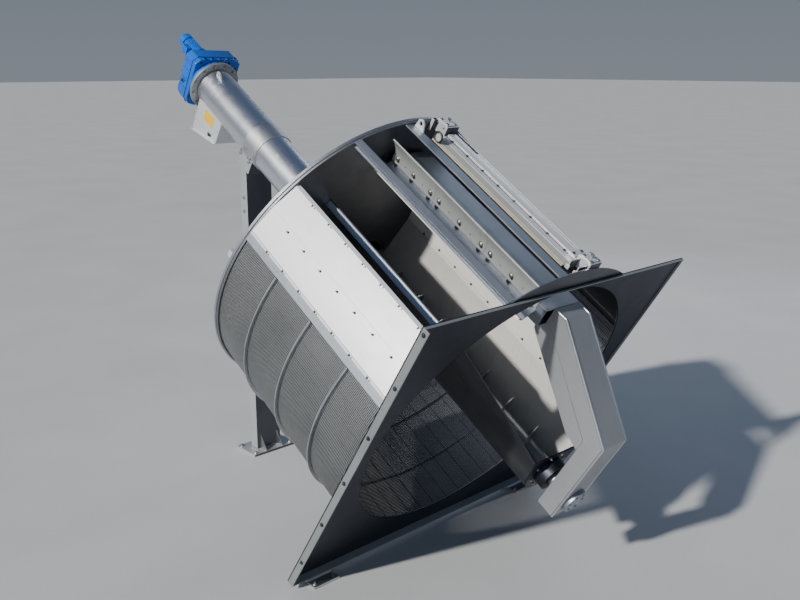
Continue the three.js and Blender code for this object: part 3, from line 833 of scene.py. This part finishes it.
def bracket_trim():
    """Lids, bolts and lugs of the two comb brackets, and a near-black block at the upper one's
    end: painted shade.
    """
    trim = Pile("comb_bracket_trim", BRACKET, "frame", "sheet")
    bolts = Pile("comb_bracket_bolts", BOLT, "frame", "sheet")
    shade = Pile("comb_bracket_shade", SHADOW, "frame", "dark_steel")
    for s0, s1 in (UPPER_BRACKET_S, LOWER_BRACKET_S):
        mid = (s0 + s1) / 2
        trim.box(s0 + 14, s1 - 14, 98, 206, BRACKET_TOP, LID_TOP)
        for s in (mid - 34, mid + 34):
            for y in (116, 190):
                bolts.bolt(at(s, y, LID_TOP + 0.1), W, flats=15)
            bolts.bolt(at(s, BRACKET_FACE + 0.1, 1298), -Y, flats=12)
        bolts.rod(at(mid, 154, LID_TOP), W, radius=6, length=30, sides=12)
        bolts.rod(at(mid, 154, LID_TOP + 15), W, radius=12, length=10, sides=6)
    # A near-black block between the upper bracket and the end plate: painted shade.
    shade.box(-1629, -1604, 52, BRACKET_FACE, 1232, 1314)
    trim.box(-1631, -1629, 48, BRACKET_FACE, 1228, 1318)
    trim.box(-1629, -1604, 48, 52, 1228, 1318)
    for s in (-104, -34):
        trim.box(s, s + 8, 0, BRACKET_FACE, 1236, 1300)
        trim.box(s - 14, s + 20, -8, 0, 1236, 1266)
    trim.done(0.0012)
    bolts.done()
    shade.done()


RING_MIDDLE = at(-1454, -19, 1281)
RING_RADIUS = 37
RING_PARTS = 24


def comb_ring():
    """Ring at the upper end of the comb, with a pale disc behind it."""
    ring = Pile("comb_ring", SHADOW, "comb", "dark_steel")
    points = [RING_MIDDLE + at(RING_RADIUS * c, -3, RING_RADIUS * d)
              for c, d in round_points(RING_PARTS)]
    for start, end in zip(points, points[1:] + points[:1]):
        ring.rod(start, end - start, radius=8, length=(end - start).length * 1.04, sides=8)
    ring.done()
    disc = Pile("comb_disc", BRIGHT, "comb", "sheet")
    disc.rod(RING_MIDDLE, Y, RING_RADIUS, length=6, sides=24)
    disc.done(0.001)


comb_ring()
comb()
bracket_trim()


# Tube and chute

TUBE_TOP = at(-4059.8, 0, 0)
TUBE_FOOT = at(-1656.5, 0, 0)
TUBE_SEAM = (60, 168.5)
SLEEVE_CLAMP_S = (-3195, -3055)
CLAMP_EAR_W = ((-66, -54), (-96, -84))
CHUTE_FACE = 150.3
CHUTE_LIP = [(-4043, -418), (-4017, -411.5), (-4018.6, -405), (-4044.6, -411.5)]
CHUTE_FOLD = [(-4018, -413), (-3632, -317), (-3632, -312), (-4018, -408)]
CHUTE_RIVETS = ((-4010, -200), (-4004, -300), (-4000, -392), (-3646, -200), (-3648, -300))
PLATE_S = (-3893, -3743)
PLATE_W = (-223, -127)
PLATE_FACE = -152.0
PLATE_RIVET_IN = 8


def tube():
    """Flange bolts, weld beads and the clamps of the sleeve."""
    bolts = Pile("tube_bolts", BOLT, "frame", "sheet")
    bolts.bolt_circle(TUBE_TOP, 212, 12, 15, S, flats=20)
    bolts.bolt_circle(TUBE_FOOT, 213, 12, 15, -S, flats=19)
    bolts.done()
    welds = Pile("tube_welds", WELD, "frame", "tube")
    welds.circle(-4057.5, 179.5, bead=3.2, step=12)
    welds.circle(-1659.0, 180.0, bead=3.2, step=12)
    for s0, s1 in ((-3020, -1662), (-3630, -3226)):
        welds.line(at(s0, *TUBE_SEAM), at(s1, *TUBE_SEAM), 1.4, step=8)
    welds.done()
    clamp = Pile("sleeve_clamp", PLAIN, "frame", "sheet")
    clamp_bolts = Pile("sleeve_clamp_bolts", BOLT, "frame", "sheet")
    for side in SIDES:
        for s in SLEEVE_CLAMP_S:
            for ear in CLAMP_EAR_W:
                clamp.box(s - 12, s + 12, side * 189, side * 216, *ear)
            clamp_bolts.rod(at(s, side * 205, -108), W, radius=5, length=66, sides=10)
            for w in (-53.8, -105.2):
                clamp_bolts.rod(at(s, side * 205, w), W, radius=9, length=9, sides=6)
    clamp.done(0.001)
    clamp_bolts.done()


def chute():
    """Folds, blank plate, rivets and latch of the chute."""
    trim = Pile("chute_trim", BRIGHT, "frame", "sheet")
    trim.along_y(CHUTE_LIP, -150, 150)
    for side in SIDES:
        y0, y1 = sorted((side * CHUTE_FACE, side * 172))
        trim.along_y(CHUTE_FOLD, y0, y1)
    trim.done(0.0008)
    plate = Pile("blank_plate", YELLOW, "frame", "sheet")
    plate.box(*PLATE_S, PLATE_FACE, -CHUTE_FACE, *PLATE_W)
    plate.done(0.0006)
    rivets = Pile("chute_bolts", BOLT, "frame", "sheet")
    for s in (PLATE_S[0] + PLATE_RIVET_IN, PLATE_S[1] - PLATE_RIVET_IN):
        for w in (PLATE_W[0] + PLATE_RIVET_IN, PLATE_W[1] - PLATE_RIVET_IN):
            rivets.rivet(at(s, PLATE_FACE - 0.1, w), -Y, radius=3.5)
    for s, w in CHUTE_RIVETS:
        for side in SIDES:
            rivets.rivet(at(s, side * CHUTE_FACE, w), Y * side, radius=6)
    rivets.done()
    latch = Pile("chute_latch", SHADOW, "frame", "dark_steel")
    latch.box(-3773, -3721, -158, -CHUTE_FACE, -304, -286)
    latch.box(-3755, -3739, -166, -158, -308, -282)
    latch.done(0.0015)


tube()
chute()


# Leg and feet

UPRIGHT = Matrix.Rotation(-TILT, 3, "Y")
UP = UPRIGHT @ W
LEG_X = -2846.0
LEG_HALF = 131
LEG_BASE_TOP = 20
FOOT_TOP = 16.2
FOOT_Y = 1080
FOOT_BOLT_X = (-770, -600)
SADDLE_BOLT_Z = (2400, 2280)
RIB = ((50.3, 20.3), (140, 20.3), (140, 34), (50.3, 150))


def upright(x, y, z):
    """A point of the upright frame, in mm above the floor, brought into the drum frame."""
    return UPRIGHT @ Vector((x, y, z - AXIS_HEIGHT))


def leg():
    """Bolts of the leg, the saddle and the feet, and the leg's ribs and weld beads."""
    bolts = Pile("leg_bolts", BOLT, "frame", "sheet")
    for dx in (-115, 115):
        for y in (-195, 195):
            bolts.bolt(upright(LEG_X + dx, y, LEG_BASE_TOP + 0.2), UP, flats=28)
    for side in SIDES:
        for x in FOOT_BOLT_X:
            for dy in (-80, 80):
                bolts.bolt(upright(x, side * FOOT_Y + dy, FOOT_TOP), UP, flats=24)
        for z in SADDLE_BOLT_Z:
            bolts.bolt(upright(LEG_X, side * (LEG_HALF + 0.2), z), Y * side, flats=22)
    bolts.done()
    ribs = Pile("leg_ribs", PLAIN, "frame", "sheet")
    for y in (-90, 90):
        ribs.prism([upright(LEG_X + dx, y - 4, z) for dx, z in RIB], Y * 8)
    ribs.done(0.001)
    welds = Pile("leg_welds", WELD, "frame", "sheet")
    x, z = LEG_X + 50.6, LEG_BASE_TOP + 1
    welds.line(upright(x, -LEG_HALF, z), upright(x, LEG_HALF, z), 3.5)
    for side in SIDES:
        y = side * (LEG_HALF + 0.4)
        welds.line(upright(LEG_X - 50, y, z), upright(LEG_X + 50, y, z), 3.5)
    welds.done()


leg()


# Gearmotor

BOX_S0 = -4335.3
BOX_S1 = -4150.3
BOX_LINE = [(-206, -192), (-174, -242), (-112, -262), (112, -262), (174, -242), (206, -192),
            (216, 38), (279, 80), (279, 184), (238, 219), (-158, 229), (-207, 184)]
BOX_PADS_Y = (-110, -30, 50, 130, 205)
BOX_FACE_BOLTS = ((-150, 190), (150, 190), (230, 130), (-185, 0), (-185, -150), (185, -150),
                  (0, -240))
PLUG = (BOX_S0 + 60, -60)
DRIVE_FLANGE = at(-4085, 0, 0)
MOTOR = at(0, -50, 150)
MOTOR_S = (BOX_S0 - 290, BOX_S0 - 30.3)
MOTOR_CORE_R = 54
SHIELD_R = 65
COWL_R = 65.5
RIBS = 26
GRILL_PARTS = 28


def gearbox():
    """Ridge, bosses, ribs, plug and bolts of the gearbox."""
    trim = Pile("gear_trim", BLUE, "frame", "blue_paint")
    trim.along_s(BOX_LINE, BOX_S1 - 62, BOX_S1 - 50)
    for y in BOX_PADS_Y:
        trim.rod(at(BOX_S1 - 18, y, 216), W, radius=15, length=14, sides=16)
    for w in (-120, -30, 60, 130):
        trim.box(BOX_S0 + 14, BOX_S1 - 66, -205, -199, w - 4, w + 4)
    s, w = PLUG
    trim.rod(at(s, -199, w), -Y, radius=24, length=10, sides=20)
    trim.done(0.0025)
    bolts = Pile("gear_bolts", SHADOW, "frame", "dark_steel")
    for y in BOX_PADS_Y:
        bolts.bolt(at(BOX_S1 - 18, y, 230.4), W, flats=17, stud=False)
    for y, w in BOX_FACE_BOLTS:
        bolts.bolt(at(BOX_S1 + 0.2, y, w), S, flats=16, stud=False)
        bolts.bolt(at(BOX_S0 - 0.2, y, w), -S, flats=16, stud=False)
    s, w = PLUG
    bolts.bolt(at(s, -209.2, w), -Y, flats=22, stud=False)
    bolts.bolt_circle(DRIVE_FLANGE, 224, 8, 22.5, -S, flats=16, stud=False)
    bolts.done()


def motor():
    """Ribbed frame, fan cowl, terminal box and end shield in place of the plain cylinder."""
    s0, s1 = MOTOR_S
    y, w = MOTOR.y, MOTOR.z
    back, front = MOTOR + S * s0, MOTOR + S * s1
    body = Pile("motor_body", BLUE, "frame", "blue_paint")
    body.rod(back + S * 78, S, MOTOR_CORE_R, length=s1 - s0 - 78, sides=32)
    body.rod(front - S * 18, S, SHIELD_R, length=18, sides=32)
    for c, d in round_points(RIBS):
        out, across = at(0, c, d), at(0, -d, c)
        foot = back + S * 84 + out * (MOTOR_CORE_R - 1)
        tip = foot + out * 11.5
        body.prism([foot - across * 1.5, foot + across * 1.5, tip + across, tip - across],
                   S * (s1 - s0 - 104))
    body.rod(back + S * 8, S, COWL_R, length=68, sides=32)
    body.rod(back + S * 8, -S, COWL_R, length=7.5, sides=32, tip=56)
    body.box(s1 - 120, s1 - 40, y - 98, y - 50, w - 34, w + 34)
    body.box(s1 - 124, s1 - 36, y - 103, y - 97.7, w - 38, w + 38)
    obj = body.done(0.0012)
    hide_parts("motor")
    grill = Pile("motor_grill", BLACK, "frame", "dark_steel")
    for r in (14, 26, 38, 50):
        for k in range(GRILL_PARTS):
            a = 2 * math.pi * k / GRILL_PARTS
            b = 2 * math.pi * (k + 0.72) / GRILL_PARTS
            start = back + at(0.6, r * math.cos(a), r * math.sin(a))
            end = back + at(0.6, r * math.cos(b), r * math.sin(b))
            grill.rod(start, end - start, radius=1.8, length=(end - start).length, sides=6)
    grill.rod(front + at(-62, -58, -34), -W, radius=9, length=16, sides=16)
    grill.done()
    screws = Pile("motor_screws", BOLT, "frame", "dark_steel")
    for ds in (-112, -48):
        for dw in (-30, 30):
            screws.rivet(front + at(ds, -103.2, dw), -Y, radius=4.5)
    shield = MOTOR + S * (BOX_S0 - 30.4)
    screws.bolt_circle(shield, 69, 4, 45, -S, flats=11, stud=False)
    screws.done()


gearbox()
motor()


# Floor, light and camera

FLOOR_SIZE = 400.0
FLOOR_DROP = 0.002


def floor():
    mesh = bpy.data.meshes.new("floor")
    h = FLOOR_SIZE / 2
    mesh.from_pydata([(-h, -h, 0), (h, -h, 0), (h, h, 0), (-h, h, 0)], [], [(0, 1, 2, 3)])
    obj = bpy.data.objects.new("floor", mesh)
    obj.location = (0, 0, -FLOOR_DROP)
    obj.data.materials.append(floor_material())
    bpy.context.scene.collection.objects.link(obj)


def aim(obj, location, target):
    obj.location = location
    way = Vector(target) - Vector(location)
    obj.rotation_euler = way.to_track_quat("-Z", "Y").to_euler()
    bpy.context.scene.collection.objects.link(obj)


def lamp(name, kind, location, target, power, color, **settings):
    light = bpy.data.lights.new(name, kind)
    light.energy = power
    light.color = color
    for key, value in settings.items():
        setattr(light, key, value)
    aim(bpy.data.objects.new(name, light), location, target)


def sky():
    """A world that is pale at the horizon and blue above."""
    world = bpy.data.worlds.new("sky")
    bpy.context.scene.world = world
    world.use_nodes = True
    tree = world.node_tree
    tree.nodes.clear()
    coords = tree.nodes.new("ShaderNodeTexCoord")
    split = tree.nodes.new("ShaderNodeSeparateXYZ")
    ramp = tree.nodes.new("ShaderNodeValToRGB")
    ramp.color_ramp.elements[0].position = 0.0
    ramp.color_ramp.elements[0].color = rgb(0.42, 0.47, 0.54)
    ramp.color_ramp.elements[1].position = 0.9
    ramp.color_ramp.elements[1].color = rgb(0.09, 0.15, 0.28)
    middle = ramp.color_ramp.elements.new(0.25)
    middle.color = rgb(0.24, 0.31, 0.42)
    background = tree.nodes.new("ShaderNodeBackground")
    background.inputs["Strength"].default_value = 0.50
    output = tree.nodes.new("ShaderNodeOutputWorld")
    tree.links.new(coords.outputs["Generated"], split.inputs[0])
    tree.links.new(split.outputs["Z"], ramp.inputs["Fac"])
    tree.links.new(ramp.outputs["Color"], background.inputs["Color"])
    tree.links.new(background.outputs[0], output.inputs["Surface"])


floor()
lamp("sun", "SUN", (0.6, -10.0, 6.0), (0, 0, 0), 4.8, (1.0, 0.965, 0.91),
     angle=math.radians(2.5))
lamp("fill", "AREA", (9.0, -9.0, 5.0), (0, 0, 1.8), 90, (0.80, 0.88, 1.0),
     shape="DISK", size=7.0)
lamp("back", "AREA", (-3.0, 9.0, 7.0), (0, 0, 2.0), 160, (0.82, 0.90, 1.0),
     shape="DISK", size=5.0)
sky()

camera = bpy.data.cameras.new("camera")
camera.lens = 41
camera.sensor_width = 36
view = bpy.data.objects.new("camera", camera)
aim(view, (5.391, -4.613, 3.530), (0.2, 0.25, 1.70))
bpy.context.scene.camera = view
